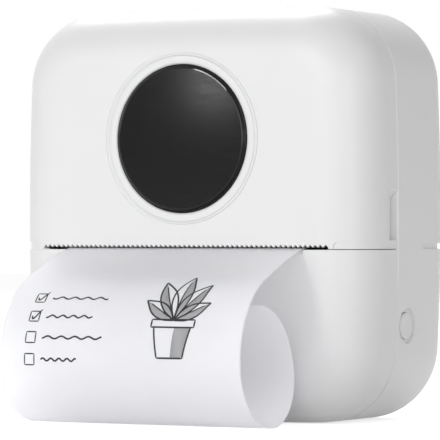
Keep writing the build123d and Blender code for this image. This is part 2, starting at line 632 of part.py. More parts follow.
def thermal_head():
    """The ceramic strip, with its thin raised line of heaters under the nip."""
    strip = head_slab(-2.6, 5.6, HEAD_TOP - HEAD_SHEET, HEAD_TOP - 0.05, HEAD_WIDTH / 2)
    glaze = head_slab(-0.6, 0.6, HEAD_TOP - 0.1, HEAD_TOP, PAPER_WIDTH / 2)
    return strip + glaze


def head_heatsink():
    top = HEAD_TOP - HEAD_SHEET
    sink = head_slab(-2.6, PIVOT_REACH - 2.2, top - HEAT_SINK, top, HEAD_WIDTH / 2)
    for side in (-1, 1):
        sink -= Pos(side * SPRING_X, 0, 0) * head_slab(3.4, 5.0, top - HEAT_SINK - 1, top - 0.9, 3)
    return sink


def head_bracket():
    """Two ears on the head's back edge that swing on the pivot rod."""
    top = HEAD_TOP - HEAD_SHEET - HEAT_SINK
    low, high = PIVOT_REACH - 2.0, PIVOT_REACH + 2.0
    bar = head_slab(PIVOT_REACH - 2.2, PIVOT_REACH - 0.9, top - 0.2, top + HEAT_SINK, HEAD_WIDTH / 2 - 4)
    for side in (-1, 1):
        x0, x1 = sorted((side * (HEAD_WIDTH / 2 - 4), side * (HEAD_WIDTH / 2 - 2.5)))
        bar += side_plate([along(low, top - 2.0), along(high, top - 2.0), along(high, top + 1.4),
                           along(low, top + 1.4)], x0, x1)
    return bar - rod_x(PIVOT_RADIUS + RUNNING, -REACH, REACH, *PIVOT)


def head_pivot():
    return rod_x(PIVOT_RADIUS, -PLATE_OUT, PLATE_OUT, *PIVOT)


def spring_column():
    """Where the head springs stand: their Y, and the Z of both ends."""
    top = HEAD_TOP - HEAD_SHEET - HEAT_SINK
    y, z = along(0.5, top)
    return y, z - SPRING_SEAT - 0.9, z - 0.9


def head_springs():
    y, low, high = spring_column()
    wire = 0.22
    group = []
    for side in (-1, 1):
        coil = Helix(pitch=(high - low - 2 * wire) / 5, height=high - low - 2 * wire, radius=1.6)
        section = Plane(origin=coil @ 0, z_dir=coil % 0) * RegularPolygon(wire, 6)
        spring = sweep(section, path=coil, is_frenet=True)
        group.append(Pos(side * SPRING_X, y, low + wire) * spring)
    return Compound(children=group)


def mechanism_frame():
    """Two side plates with open slots for the bushes, and the bars between them."""
    y, low, high = spring_column()
    slot_low, slot_high = PLATEN[1] - BUSH_RADIUS, PLATEN[1] + BUSH_RADIUS
    nose = PLATEN[0] - 1.6
    shared = [(nose, slot_low - 2.0), (nose, slot_high + 1.8), (PLATEN[0] + 7, slot_high + 1.8),
              (EAR_Y + FRAME_SHEET, SPLIT_HEIGHT + 0.5)]
    foot, half = MOTOR[1] - MOTOR_RADIUS - 1, MOTOR_EARS[1] + EAR_RADIUS - MOTOR[0] + 0.6
    left = shared + [(MOTOR[0] + half, 28), (MOTOR[0] + half, MOTOR[1] - 3), (MOTOR[0] + 5, foot),
                     (MOTOR[0] - 5, foot), (MOTOR[0] - half, MOTOR[1] - 3), (MOTOR[0] - half, 26)]
    right = shared + [(EAR_Y + FRAME_SHEET, 28.5), (y - 3, 28.5)]
    frame = side_plate(left, -PLATE_OUT, -PLATE_IN) + side_plate(right, PLATE_IN, PLATE_OUT)
    frame -= bush_slot()
    frame += block(-PLATE_IN, PLATE_IN, y - 3, y + 3, low - 1.4, low)
    frame += block(-PLATE_IN, PLATE_IN, EAR_Y, EAR_Y + FRAME_SHEET, 29.5, SPLIT_HEIGHT - 1)
    for side, (x, z) in zip((-1, 1), EAR_SCREWS):
        x0, x1 = sorted((side * PLATE_IN, x + side * 2.8))
        frame += block(x0, x1, EAR_Y, EAR_Y + FRAME_SHEET, z - 3, z + 3)
        frame -= rod_y(SCREW_RADIUS + LOOSE, EAR_Y - 1, EAR_Y + 3, x, z)
    for centre in (IDLER, REDUCTION):
        frame -= rod_x(POST_RADIUS, -REACH, 0, *centre)
    frame -= rod_x(3.0, -REACH, 0, *MOTOR)
    frame -= rod_x(PIVOT_RADIUS, -REACH, REACH, *PIVOT)
    for y in MOTOR_EARS:
        frame -= rod_x(SCREW_RADIUS, -REACH, 0, y, MOTOR[1])
    return frame


def bush_slot():
    """The open slot in both plates, along the arc that the cover takes the bushes on."""
    room = BUSH_RADIUS + 2 * RUNNING
    back = rod_x(room, -REACH, REACH, *PLATEN)
    rise = (HINGE_Y - PLATEN[0]) / (HINGE_Z - PLATEN[1])
    mouth = 6.0
    points = [(PLATEN[0], PLATEN[1] - room), (PLATEN[0], PLATEN[1] + room),
              (PLATEN[0] - mouth, PLATEN[1] + room + mouth * rise + 0.8),
              (PLATEN[0] - mouth, PLATEN[1] - room + mouth * rise - 0.5)]
    return back + side_plate(points, -REACH, REACH)


def frame_screws():
    return Compound(children=[screw_y(x, z, EAR_Y, EAR_SCREW_LENGTH, 1) for x, z in EAR_SCREWS])


def tub_screws():
    return Compound(children=[screw_y(x, z, FLANGE_Y, 8, 1) for x, z in TUB_SCREWS])


def case_screws():
    return Compound(children=[screw_y(x, z, SEAM + 8, 9, -1) for x, z in CASE_SCREWS])


def carrier_screws():
    back = CARRIER_Y + CARRIER_SHEET
    return Compound(children=[screw_y(x, z, back, 2.6, -1) for x, z in CARRIER_SCREWS])


SENSOR = (ROLL_Y - 0.6, PLATEN[1] - 1.2)


def paper_tub():
    """The half-round trough for the roll, with its cheeks and front flange."""
    inner, outer = TUB_OUTER - TUB_WALL, TUB_OUTER
    cheek_front = SEAM - 3.5
    trough = rod_x(outer, -TUB_OUT, TUB_OUT, ROLL_Y, ROLL_HEIGHT)
    trough &= block(-TUB_OUT, TUB_OUT, cheek_front, REAR, 0, BODY_HEIGHT)
    hollow = rod_x(inner, -TUB_IN, TUB_IN, ROLL_Y, ROLL_HEIGHT)
    hollow += block(-TUB_IN, TUB_IN, FRONT, ROLL_Y - 4, ROLL_HEIGHT - outer - 1, ROLL_HEIGHT + outer + 1)
    flange = slab(WALL + LOOSE, FLANGE_Y, FLANGE_Y + FLANGE_SHEET)
    flange &= block(-REACH, REACH, FRONT, REAR, FLANGE_LOW, FLANGE_TOP)
    flange -= rod_x(outer - 0.1, -TUB_OUT + 0.1, TUB_OUT - 0.1, ROLL_Y, ROLL_HEIGHT)
    flange -= block(-TUB_OUT + 0.1, TUB_OUT - 0.1, FRONT, ROLL_Y, ROLL_HEIGHT - outer + 2,
                    ROLL_HEIGHT + outer - 2)
    for x, z in TUB_SCREWS:
        flange -= rod_y(SCREW_RADIUS + LOOSE, FRONT, REAR, x, z)
    tub = trough - hollow + flange
    tub += block(-13.5, -6, SENSOR[0], SENSOR[0] + 1.2, SENSOR[1], ROLL_HEIGHT - outer + 0.5)
    for rib in (-1, 0, 1):
        x = rib * 14
        lip = block(x - 0.6, x + 0.6, ROLL_Y + 4, REAR - WALL - 0.3, ROLL_HEIGHT - 9, ROLL_HEIGHT + 9)
        tub += lip - rod_x(inner + 0.2, -TUB_OUT, TUB_OUT, ROLL_Y, ROLL_HEIGHT)
    return tub


def paper_roll():
    roll = rod_x(ROLL_RADIUS, -PAPER_WIDTH / 2, PAPER_WIDTH / 2, ROLL_Y, ROLL_HEIGHT)
    return roll - rod_x(CORE_RADIUS, -REACH, REACH, ROLL_Y, ROLL_HEIGHT)


def roll_core():
    core = rod_x(CORE_RADIUS, -PAPER_WIDTH / 2, PAPER_WIDTH / 2, ROLL_Y, ROLL_HEIGHT)
    return core - rod_x(CORE_RADIUS - CORE_WALL, -REACH, REACH, ROLL_Y, ROLL_HEIGHT)


def ribbon_side(start, heading, steps, offset):
    """One long edge of a bent sheet: runs and tangent arcs, shifted to the left."""
    edges, corners = [], []
    y, z = start
    for kind, size, turn in steps:
        left = (-sin(radians(heading)), cos(radians(heading)))
        here = (y + left[0] * offset, z + left[1] * offset)
        if kind == "run":
            y, z = y + size * cos(radians(heading)), z + size * sin(radians(heading))
            edges.append(Line(here, (y + left[0] * offset, z + left[1] * offset)))
        else:
            radius = z - PAPER_SHEET / 2 if size is None else size
            sense = 1 if turn > 0 else -1
            centre = (y + left[0] * radius * sense, z + left[1] * radius * sense)
            spots = []
            for share in (0.5, 1.0):
                angle = radians(heading + turn * share)
                out = (sin(angle) * sense, -cos(angle) * sense)
                spots.append([centre[i] + out[i] * (radius - offset * sense) for i in (0, 1)])
                y, z = centre[0] + out[0] * radius, centre[1] + out[1] * radius
            edges.append(ThreePointArc(here, tuple(spots[0]), tuple(spots[1])))
            heading += turn
    return edges


CURL_RUN = 5.6
CURL_FRONT = 18.4
CURL_BACK = 9.3
CURL_END = 16.0
CURL_SAG = (75.0, 7.0)


def paper_path():
    """The paper's middle line: off the roll, round the platen, out and curled over."""
    roll_reach = ROLL_RADIUS + RUNNING + PAPER_SHEET / 2
    dy, dz = PLATEN[0] - ROLL_Y, PLATEN[1] - ROLL_HEIGHT
    span = hypot(dy, dz)
    lean = degrees(atan2(dz, dy)) - degrees(acos((roll_reach + NIP_GAP) / span))
    start = (ROLL_Y + roll_reach * cos(radians(lean)), ROLL_HEIGHT + roll_reach * sin(radians(lean)))
    heading = lean + 90
    length = sqrt(span ** 2 - (roll_reach + NIP_GAP) ** 2)
    wrap = (180 + EXIT_ANGLE) - heading % 360
    slot = hypot(NIP[0] - PAPER_EXIT[0], NIP[1] - PAPER_EXIT[1])
    down = 270 - (180 + EXIT_ANGLE + CURL_SAG[1])
    steps = [("run", length, 0), ("arc", NIP_GAP, wrap), ("run", slot + 2, 0), ("arc", *CURL_SAG),
             ("run", CURL_RUN, 0), ("arc", CURL_FRONT, down), ("arc", None, 90),
             ("arc", CURL_BACK, 90), ("arc", CURL_END, 84)]
    return start, heading, steps


def paper_strip():
    start, heading, steps = paper_path()
    half = PAPER_SHEET / 2
    one = ribbon_side((start[0], start[1]), heading, steps, half)
    two = ribbon_side((start[0], start[1]), heading, steps, -half)
    caps = [Line(one[0] @ 0, two[0] @ 0), Line(one[-1] @ 1, two[-1] @ 1)]
    face = make_face(Wire(one + two + caps))
    return Pos(-PAPER_WIDTH / 2, 0, 0) * extrude(Plane.YZ * face, PAPER_WIDTH)


BOARD_FACE = SEAM + 7.7
BOARD_LEFT = MOTOR_LENGTH + BOARD_LEFT_GAP - PLATE_IN
BOARD_RIGHT = BODY_WIDTH / 2 - BOARD_RIGHT_GAP
# Each chip's middle from the board's middle, its width, height and thickness
CHIPS = [(-7, -0.5, 7, 7, 0.9), (5, 1.5, 12, 9, 1.6), (-19, -5.5, 5, 4, 1.2), (14, -6.5, 4, 6, 1.4),
         (-13, -9, 3, 2, 0.8)]


def board_blank(grow):
    """The main board, with a corner cut away round the case screw's boss."""
    board = block(BOARD_LEFT - grow, BOARD_RIGHT + grow, BOARD_FACE - grow,
                  BOARD_FACE + BOARD_SHEET + grow, BOARD_LOW - grow, BOARD_HIGH + grow)
    x, z = CASE_SCREWS[1]
    room = BOSS_RADIUS + 2
    return board - block(x - room, REACH, BOARD_FACE - 1, BOARD_FACE + 3, 0, z + room)


def main_board():
    return board_blank(0)


def board_chips():
    middle_x, middle_z = (BOARD_LEFT + BOARD_RIGHT) / 2, (BOARD_LOW + BOARD_HIGH) / 2
    group = []
    for across, up, wide, tall, thick in CHIPS:
        x, z = middle_x + across, middle_z + up
        group.append(block(x - wide / 2, x + wide / 2, BOARD_FACE - thick, BOARD_FACE,
                           z - tall / 2, z + tall / 2))
    return Compound(children=group)


FLANGE_INNER = wall_x(BUTTON_HEIGHT) - WALL - 1.2
SWITCH_OUT = FLANGE_INNER - BUTTON_STEM - PLUNGER_OUT


def tact_switch():
    half = 2.2
    body = block(SWITCH_OUT - 2 * half, SWITCH_OUT, BUTTON_Y - half, BOARD_FACE, BUTTON_HEIGHT - half,
                 BUTTON_HEIGHT + half)
    room = PLUNGER_IN + BUTTON_TRAVEL + 0.2
    return body - rod_x(0.8, SWITCH_OUT - room, SWITCH_OUT + 1, BUTTON_Y, BUTTON_HEIGHT)


def switch_plunger():
    return rod_x(0.7, SWITCH_OUT - PLUNGER_IN, SWITCH_OUT + PLUNGER_OUT, BUTTON_Y, BUTTON_HEIGHT)


def power_button():
    """A round cap with a dished face, kept in by its flange, and its stem."""
    face = wall_x(BUTTON_HEIGHT) - 0.1
    cap = rod_x(BUTTON_RADIUS, FLANGE_INNER, face, BUTTON_Y, BUTTON_HEIGHT)
    cap = fillet(cap.faces().sort_by(Axis.X)[-1].edges(), 0.35)
    cap -= Pos(face + 11.85, BUTTON_Y, BUTTON_HEIGHT) * Sphere(12)
    flange = rod_x(BUTTON_RADIUS + BUTTON_FLANGE, FLANGE_INNER, FLANGE_INNER + 0.8, BUTTON_Y, BUTTON_HEIGHT)
    stem = rod_x(1.1, SWITCH_OUT + PLUNGER_OUT, FLANGE_INNER, BUTTON_Y, BUTTON_HEIGHT)
    return cap + flange + stem


def usb_slot(grow, x0, x1):
    """The rounded slot shape of the charging socket, long along Z."""
    thin, wide = USB_THIN / 2 + grow, USB_WIDE / 2 + grow
    slot = block(x0, x1, USB_Y - thin, USB_Y + thin, USB_HEIGHT - wide + thin, USB_HEIGHT + wide - thin)
    for side in (-1, 1):
        slot += rod_x(thin, x0, x1, USB_Y, USB_HEIGHT + side * (wide - thin))
    return slot


def usb_socket():
    mouth = -wall_x(USB_HEIGHT) + 0.4
    can = usb_slot(0, mouth, mouth + USB_LONG) - usb_slot(-0.3, mouth - 1, mouth + USB_LONG - 1)
    tongue = block(mouth + 0.7, mouth + USB_LONG, USB_Y - 0.35, USB_Y + 0.35,
                   USB_HEIGHT - 3.3, USB_HEIGHT + 3.3)
    return can + tongue


def usb_board():
    y, half = USB_Y + USB_THIN / 2, USB_WIDE / 2 + 2
    return block(3.0 - wall_x(USB_HEIGHT), -PLATE_OUT - 1.6, y, y + BOARD_SHEET,
                 USB_HEIGHT - half, USB_HEIGHT + half)


BATTERY_LOW = WALL + BATTERY_UNDER
BATTERY_LEFT = BATTERY_SIDE - PLATE_IN


def battery():
    back = REAR - WALL - BATTERY_GAP
    cell = block(BATTERY_LEFT, BATTERY_LEFT + BATTERY_WIDTH, back - BATTERY_THICK, back, BATTERY_LOW,
                 BATTERY_LOW + BATTERY_HEIGHT)
    return fillet(cell.edges().filter_by(Axis.Z), 2.2)


def head_flex():
    """The flat cable from the head's back edge down to the board."""
    start = along(PIVOT_REACH - 1.5, HEAD_TOP + 0.4)
    board = (BOARD_FACE - 0.2, BOARD_HIGH - 1)
    path = FilletPolyline(start, (board[0], start[1] + 1.0), (board[0], board[1]), radius=2.0)
    other = FilletPolyline((start[0], start[1] - 0.2), (board[0] - 0.2, start[1] + 0.8),
                           (board[0] - 0.2, board[1]), radius=1.8)
    caps = [Line(path @ 0, other @ 0), Line(path @ 1, other @ 1)]
    face = make_face(path.edges() + other.edges() + caps)
    return Pos(HEAD_WIDTH / 2 - FLEX_EDGE - FLEX_WIDTH, 0, 0) * extrude(Plane.YZ * face, FLEX_WIDTH)


def paper_sensor():
    """The small light barrier that looks at the paper behind the platen."""
    y, z = SENSOR
    return block(-12, -7.5, y - 3.2, y - 0.8, z + 1, z + 3.6) + block(-13.5, -6, y - 0.8, y, z, z + 4.4)


SUB_PARTS = [rear_shell, lower_front_shell, cover_shell, hinge_pin, front_disc, disc_tape,
             platen_carrier, platen_roller, platen_shaft, platen_bushes, platen_gear, idler_gear,
             reduction_gear, gear_posts, motor_pinion, drive_motor, motor_screws, thermal_head,
             head_heatsink, head_bracket, head_pivot, head_springs, mechanism_frame, frame_screws,
             tub_screws, case_screws, carrier_screws, paper_tub, paper_roll, roll_core, paper_strip,
             main_board, board_chips, tact_switch, switch_plunger, power_button, usb_socket, usb_board,
             battery, head_flex, paper_sensor]

os.makedirs("parts", exist_ok=True)
for make in SUB_PARTS:
    export_step(make(), f"parts/{make.__name__}.step")
print("platen", PLATEN, "idler", IDLER, "reduction", REDUCTION, "motor", MOTOR)
print("hinge", (HINGE_Y, HINGE_Z), "pivot", PIVOT, "roll", (ROLL_Y, ROLL_HEIGHT))
print("front", FRONT, "roll radius", ROLL_RADIUS, "spring low", spring_column()[1])
print("usb x", wall_x(USB_HEIGHT), "usb y", USB_Y)
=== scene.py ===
import json
import math
import random

import bmesh
import bpy
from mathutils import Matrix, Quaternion, Vector


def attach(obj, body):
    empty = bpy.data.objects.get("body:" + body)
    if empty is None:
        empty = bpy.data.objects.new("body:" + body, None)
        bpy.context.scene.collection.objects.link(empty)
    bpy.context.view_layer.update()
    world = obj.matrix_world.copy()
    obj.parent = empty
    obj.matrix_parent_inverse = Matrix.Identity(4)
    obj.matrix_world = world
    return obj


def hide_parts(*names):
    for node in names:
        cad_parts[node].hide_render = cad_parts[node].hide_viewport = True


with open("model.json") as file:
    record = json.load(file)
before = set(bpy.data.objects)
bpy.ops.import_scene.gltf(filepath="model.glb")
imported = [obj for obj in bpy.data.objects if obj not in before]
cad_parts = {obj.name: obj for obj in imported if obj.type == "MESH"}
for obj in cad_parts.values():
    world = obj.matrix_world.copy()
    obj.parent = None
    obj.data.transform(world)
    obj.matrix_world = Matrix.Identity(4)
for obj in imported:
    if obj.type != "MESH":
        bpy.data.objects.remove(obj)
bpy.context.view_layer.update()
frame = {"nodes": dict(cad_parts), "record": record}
nodes = frame["nodes"]
mm = 0.001
# where each hinge turns, as (Y, Z) in mm
axes = {joint["name"]: [value / mm for value in joint["pos_m"][1:]]
        for joint in frame["record"]["behaviour"]["joints"] if "pos_m" in joint}
print("frame loaded:", len(nodes), "nodes")


def boxOf(name):
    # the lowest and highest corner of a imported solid, in mm
    spots = [nodes[name].matrix_world @ vert.co / mm for vert in nodes[name].data.vertices]
    return [Vector([pick(spot[i] for spot in spots) for i in range(3)]) for pick in (min, max)]


def toLinear(hexColour):
    # sRGB hex to the linear values that the shaders take
    channels = [int(hexColour[i:i + 2], 16) / 255 for i in (1, 3, 5)]
    return (*[c / 12.92 if c <= 0.04045 else ((c + 0.055) / 1.055) ** 2.4 for c in channels], 1.0)


def addNode(tree, kind, settings=None, links=None):
    # one node, with its sockets or properties set and its inputs linked
    node = tree.nodes.new("ShaderNode" + kind)
    for name, value in (settings or {}).items():
        if isinstance(name, int) or name in node.inputs:
            node.inputs[name].default_value = value
        else:
            setattr(node, name, value)
    for name, source in (links or {}).items():
        tree.links.new(source, node.inputs[name])
    return node


def startMaterial(name, look):
    # an empty material with its shader's constants set, and coordinates in metres
    material = bpy.data.materials.new(name)
    material.use_nodes = True
    tree = material.node_tree
    tree.nodes.clear()
    shader = addNode(tree, "BsdfPrincipled", look)
    addNode(tree, "OutputMaterial", links={"Surface": shader.outputs[0]})
    place = addNode(tree, "TexCoord").outputs["Object"]
    return material, tree, shader, place


def grainOf(tree, place, size, detail=2.0, stretch=(1, 1, 1)):
    # a noise whose spots are about one size across, in millimetres
    scaled = addNode(tree, "Mapping", {"Scale": stretch}, {"Vector": place})
    return addNode(tree, "TexNoise", {"Scale": 1 / (size * mm), "Detail": detail},
                   {"Vector": scaled.outputs[0]}).outputs["Fac"]


def waveScale(pitch):
    # the wave texture's scale for bands one pitch apart, in millimetres
    bandsPerUnit = 20
    return 1 / (pitch * mm) / bandsPerUnit


def blendColours(tree, factor, first, second):
    # two hex colours mixed by a pattern
    return addNode(tree, "Mix", {"data_type": "RGBA", 6: toLinear(first), 7: toLinear(second)},
                   {0: factor}).outputs[2]


def spread(tree, value, low, high, fromLow=0.3, fromHigh=0.7):
    # a pattern's value moved to another range
    return addNode(tree, "MapRange", {1: fromLow, 2: fromHigh, 3: low, 4: high}, {0: value}).outputs[0]


def addBump(tree, shader, height, depth, strength=1.0):
    # a relief of some depth in millimetres
    bump = addNode(tree, "Bump", {"Strength": strength, "Distance": depth * mm}, {"Height": height})
    tree.links.new(bump.outputs[0], shader.inputs["Normal"])


print("materials")

whiteAbs = {"light": "#f1f1f1", "shade": "#ebebec", "grain": 0.30, "cloud": 26.0}


def makeWhiteAbs():
    # ABS moulded against a fine spark-eroded steel: an even satin white with soft, wide highlights
    material, tree, shader, place = startMaterial(
        "SatinAbsMoulded", {"Roughness": 0.42, "IOR": 1.53, "Specular IOR Level": 0.5})
    cloud = grainOf(tree, place, whiteAbs["cloud"])
    tree.links.new(blendColours(tree, cloud, whiteAbs["light"], whiteAbs["shade"]),
                   shader.inputs["Base Color"])
    # the real spark grain is 0.05 mm; drawn at 0.3 mm so that it shows at all
    grain = grainOf(tree, place, whiteAbs["grain"], 3.0)
    tree.links.new(spread(tree, grain, 0.38, 0.46), shader.inputs["Roughness"])
    addBump(tree, shader, grain, 0.004, 0.5)
    return material


blackPolycarbonate = {"light": "#101011", "shade": "#0c0c0d", "cloud": 9.0, "scuff": 0.5}


def makeBlackPolycarbonate(name, gloss, level):
    # polycarbonate, deep black and glossy: it mirrors a softbox softly off its moulded face,
    # and crisply off a turned edge
    material, tree, shader, place = startMaterial(
        name, {"Roughness": gloss[0], "IOR": 1.58, "Specular IOR Level": level})
    cloud = grainOf(tree, place, blackPolycarbonate["cloud"])
    tree.links.new(blendColours(tree, cloud, blackPolycarbonate["light"], blackPolycarbonate["shade"]),
                   shader.inputs["Base Color"])
    # wiping marks, long across the face and fine up it
    scuff = grainOf(tree, place, blackPolycarbonate["scuff"], 4.0, (0.15, 1, 1))
    tree.links.new(spread(tree, scuff, *gloss), shader.inputs["Roughness"])
    addBump(tree, shader, cloud, 0.01, 0.15)
    return material


def makeBlackPolyamide():
    # glass-filled polyamide, moulded matt: dark grey with pale fibre flecks
    material, tree, shader, place = startMaterial(
        "BlackPolyamideMoulded", {"Roughness": 0.6, "IOR": 1.53})
    fibre = grainOf(tree, place, 0.35, 3.0, (0.3, 1, 1))
    tree.links.new(blendColours(tree, spread(tree, fibre, 0, 1, 0.5, 0.8), "#18181a", "#2b2b2e"),
                   shader.inputs["Base Color"])
    addBump(tree, shader, fibre, 0.01, 0.6)
    return material


def makeAcetal():
    # natural acetal, moulded: a warm, slightly waxy white
    material, tree, shader, place = startMaterial(
        "AcetalMoulded", {"Roughness": 0.36, "IOR": 1.48, "Subsurface Weight": 0.08,
                          "Subsurface Radius": (0.002, 0.002, 0.0015)})
    flow = grainOf(tree, place, 1.6)
    tree.links.new(blendColours(tree, flow, "#eeece2", "#e4e1d4"), shader.inputs["Base Color"])
    addBump(tree, shader, flow, 0.008, 0.5)
    return material


def makeSiliconeRubber():
    # silicone rubber, ground round: near black and dry, with fine rings from the stone
    material, tree, shader, place = startMaterial("SiliconeRubberGround", {"Roughness": 0.78, "IOR": 1.41})
    rings = addNode(tree, "TexWave", {"bands_direction": "X", "Scale": waveScale(0.6), "Distortion": 1.2,
                                      "Detail": 2.0}, {"Vector": place}).outputs["Fac"]
    tree.links.new(blendColours(tree, rings, "#1d1e20", "#292a2c"), shader.inputs["Base Color"])
    addBump(tree, shader, rings, 0.012, 0.6)
    return material


def makeMetal(name, light, shade, rough, size, stretch):
    # a bare metal whose grain runs one way, with the shine broken along it
    material, tree, shader, place = startMaterial(name, {"Metallic": 1.0, "Roughness": rough})
    grain = grainOf(tree, place, size, 3.0, stretch)
    tree.links.new(blendColours(tree, grain, light, shade), shader.inputs["Base Color"])
    tree.links.new(spread(tree, grain, rough - 0.06, rough + 0.08), shader.inputs["Roughness"])
    addBump(tree, shader, grain, 0.006, 0.5)
    return material


def makeGlazedAlumina():
    # alumina under a thin glaze: warm grey-white and smooth
    material, tree, shader, place = startMaterial("AluminaGlazed", {"Roughness": 0.16, "IOR": 1.6})
    cloud = grainOf(tree, place, 3.0)
    tree.links.new(blendColours(tree, cloud, "#e6ddc8", "#d8ccb2"), shader.inputs["Base Color"])
    addBump(tree, shader, cloud, 0.01, 0.3)
    return material


thermalPaper = {"light": "#fdfdfe", "shade": "#fafafc", "fibre": 0.45, "through": 0.48}


def makeThermalPaper():
    # smooth coated thermal paper: cool white, faintly mottled, and light comes through it
    material, tree, shader, place = startMaterial(
        "ThermalPaperCoated", {"Roughness": 0.55, "IOR": 1.5, "Specular IOR Level": 0.35})
    fibre = grainOf(tree, place, thermalPaper["fibre"], 4.0, (1, 0.6, 0.6))
    mottle = grainOf(tree, place, 6.0, 3.0)
    colour = blendColours(tree, mottle, thermalPaper["light"], thermalPaper["shade"])
    tree.links.new(colour, shader.inputs["Base Color"])
    tree.links.new(spread(tree, fibre, 0.5, 0.6), shader.inputs["Roughness"])
    addBump(tree, shader, fibre, 0.006, 0.5)
    through = addNode(tree, "BsdfTranslucent", links={"Color": colour})
    both = addNode(tree, "MixShader", {0: thermalPaper["through"]},
                   {1: shader.outputs[0], 2: through.outputs[0]})
    tree.links.new(both.outputs[0], tree.nodes["Material Output"].inputs["Surface"])
    return material


def makePolystyrene():
    # recycled grey polystyrene tube, extruded: dull, with lines along its length
    material, tree, shader, place = startMaterial("PolystyreneExtruded", {"Roughness": 0.5, "IOR": 1.59})
    line = grainOf(tree, place, 0.4, 2.0, (0.05, 1, 1))
    tree.links.new(blendColours(tree, line, "#585b60", "#6a6d72"), shader.inputs["Base Color"])
    addBump(tree, shader, line, 0.01, 0.6)
    return material


def makeSolderMask():
    # glass-epoxy board under green solder mask: tracks show as paler, raised lanes
    material, tree, shader, place = startMaterial("SolderMaskScreened", {"Roughness": 0.3, "IOR": 1.55})
    lanes = addNode(tree, "TexVoronoi", {"distance": "MANHATTAN", "feature": "F2", "Scale": 1 / (2.2 * mm)},
                    {"Vector": place}).outputs["Distance"]
    track = addNode(tree, "Math", {"operation": "PINGPONG", 1: 0.12}, {0: lanes}).outputs[0]
    mask = spread(tree, track, 0, 1, 0.045, 0.075)
    tree.links.new(blendColours(tree, mask, "#0d4626", "#1b6a3a"), shader.inputs["Base Color"])
    addBump(tree, shader, mask, 0.03, 0.5)
    return material


def makeEpoxy():
    # black moulded epoxy packages: matt, with a fine moulding grain
    material, tree, shader, place = startMaterial("EpoxyMoulded", {"Roughness": 0.58, "IOR": 1.55})
    grain = grainOf(tree, place, 0.2, 3.0)
    tree.links.new(blendColours(tree, grain, "#141415", "#202022"), shader.inputs["Base Color"])
    addBump(tree, shader, grain, 0.008, 0.7)
    return material


def makeFoilPouch():
    # laminated aluminium foil over a flat cell: bright and gently puckered
    material, tree, shader, place = startMaterial(
        "AluminiumFoilLaminated", {"Metallic": 1.0, "Roughness": 0.32})
    pucker = grainOf(tree, place, 5.0, 4.0)
    tree.links.new(blendColours(tree, pucker, "#c6cacf", "#b4b9c0"), shader.inputs["Base Color"])
    addBump(tree, shader, pucker, 0.25, 0.5)
    return material


def makePolyimide():
    # amber polyimide film over copper tracks, half a millimetre apart
    material, tree, shader, place = startMaterial("PolyimideEtched", {"Roughness": 0.28, "IOR": 1.7})
    tracks = addNode(tree, "TexWave", {"bands_direction": "X", "Scale": waveScale(0.5)},
                     {"Vector": place}).outputs["Fac"]
    tree.links.new(blendColours(tree, spread(tree, tracks, 0, 1), "#8a4a10", "#bb7a34"),
                   shader.inputs["Base Color"])
    addBump(tree, shader, tracks, 0.02, 0.5)
    return material


def makeFoamTape():
    # black closed-cell foam tape: dull and pitted
    material, tree, shader, place = startMaterial("FoamTapeCut", {"Roughness": 0.95, "IOR": 1.4})
    cells = addNode(tree, "TexVoronoi", {"Scale": 1 / (0.3 * mm)}, {"Vector": place}).outputs["Distance"]
    tree.links.new(blendColours(tree, cells, "#0f0f10", "#1d1d1f"), shader.inputs["Base Color"])
    addBump(tree, shader, cells, 0.05, 0.8)
    return material


def makeThermalInk(name, light, shade):
    # heated coating of thermal paper: dark, dull, built of print-head dots
    # the real dots are 0.125 mm apart; drawn at 0.25 mm so that they show
    material, tree, shader, place = startMaterial(
        name, {"Roughness": 0.55, "IOR": 1.5, "Specular IOR Level": 0.3})
    dots = grainOf(tree, place, 0.25, 2.0)
    tree.links.new(blendColours(tree, dots, light, shade), shader.inputs["Base Color"])
    addBump(tree, shader, dots, 0.003, 0.3)
    return material


finishes = {
    "shell_white": makeWhiteAbs(),
    "disc_black": makeBlackPolycarbonate("BlackPolycarbonatePolished", (0.15, 0.2), 0.13),
    "inner_black": makeBlackPolyamide(),
    "gear_white": makeAcetal(),
    "rubber_black": makeSiliconeRubber(),
    # zinc-plated steel, turned: bright, with its marks round the X axis
    "steel_bright": makeMetal("SteelZincPlatedTurned", "#d2d4d6", "#bcbfc2", 0.28, 0.3, (1, 0.2, 0.2)),
    # zinc-plated sheet, pressed: duller and cloudy
    "steel_sheet": makeMetal("SteelSheetPressed", "#bfc2c5", "#a9adb1", 0.4, 2.5, (1, 1, 1)),
    # aluminium, extruded: pale, with lines along X
    "heat_sink": makeMetal("AluminiumExtruded", "#dadcde", "#c8cacd", 0.34, 0.4, (0.05, 1, 1)),
    "head_ceramic": makeGlazedAlumina(),
    "paper_white": makeThermalPaper(),
    "core_plastic": makePolystyrene(),
    "board_green": makeSolderMask(),
    "chip_black": makeEpoxy(),
    "battery_foil": makeFoilPouch(),
    "flex_amber": makePolyimide(),
    "tape_black": makeFoamTape(),
}
inkDark = makeThermalInk("ThermalCoatingHeated", "#3a3a3c", "#2c2c2e")
inkGrey = makeThermalInk("ThermalCoatingHalftone", "#b8b8ba", "#adadb0")

for row in frame["record"]["subparts"]:
    for place in nodes[row["node"]].material_slots:
        place.material = finishes[row["material_slot"]]


def addPiece(name, form, material, body, smooth=True):
    # a finished bmesh as an object that rides on a body
    mesh = bpy.data.meshes.new(name)
    form.to_mesh(mesh)
    form.free()
    mesh.materials.append(material)
    for face in mesh.polygons:
        face.use_smooth = smooth
    piece = bpy.data.objects.new(name, mesh)
    bpy.context.scene.collection.objects.link(piece)
    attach(piece, body)
    return piece


print("front disc")

discLow, discHigh = boxOf("front_disc")
